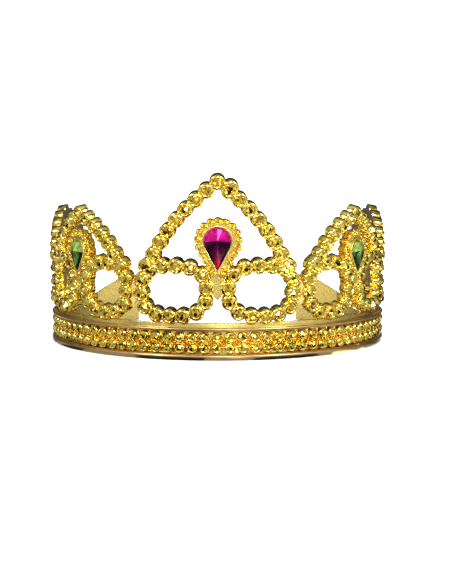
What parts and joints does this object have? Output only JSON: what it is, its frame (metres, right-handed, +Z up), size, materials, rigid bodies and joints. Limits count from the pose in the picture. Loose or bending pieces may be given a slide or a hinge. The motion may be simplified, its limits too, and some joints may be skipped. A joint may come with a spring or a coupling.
{
  "type": "costume crown",
  "caption": "Open-backed costume crown: beaded band, five pointed openwork panels with loops and drop-shaped stones, plain tails at the back.",
  "frame": {"origin": "centre of the circular head opening, on the plane the lower rim stands on", "axes": "+Z up, front of the crown towards -Y, +X to the right as seen from the front"},
  "size_m": [0.147, 0.1328, 0.0743],
  "materials": {
    "gold_plastic": "bright gold metallised",
    "magenta_stone": "clear faceted",
    "green_stone": "clear faceted"
  },
  "bodies": {
    "root": {"band_plate": "gold_plastic", "centre_arch": "gold_plastic", "centre_left_loop": "gold_plastic", "centre_right_loop": "gold_plastic", "centre_setting": "gold_plastic", "centre_stone": "magenta_stone", "left_rear_arch": "gold_plastic", "left_rear_left_loop": "gold_plastic", "left_rear_right_loop": "gold_plastic", "left_rear_setting": "gold_plastic", "left_rear_stone": "magenta_stone", "left_side_arch": "gold_plastic", "left_side_left_loop": "gold_plastic", "left_side_right_loop": "gold_plastic", "left_side_setting": "gold_plastic", "left_side_stone": "green_stone", "left_tail": "gold_plastic", "lower_bead_row": "gold_plastic", "lower_rim": "gold_plastic", "panel_webs": "gold_plastic", "right_rear_arch": "gold_plastic", "right_rear_left_loop": "gold_plastic", "right_rear_right_loop": "gold_plastic", "right_rear_setting": "gold_plastic", "right_rear_stone": "magenta_stone", "right_side_arch": "gold_plastic", "right_side_left_loop": "gold_plastic", "right_side_right_loop": "gold_plastic", "right_side_setting": "gold_plastic", "right_side_stone": "green_stone", "right_tail": "gold_plastic", "upper_bead_row": "gold_plastic", "upper_rim": "gold_plastic"}
  },
  "joints": []
}
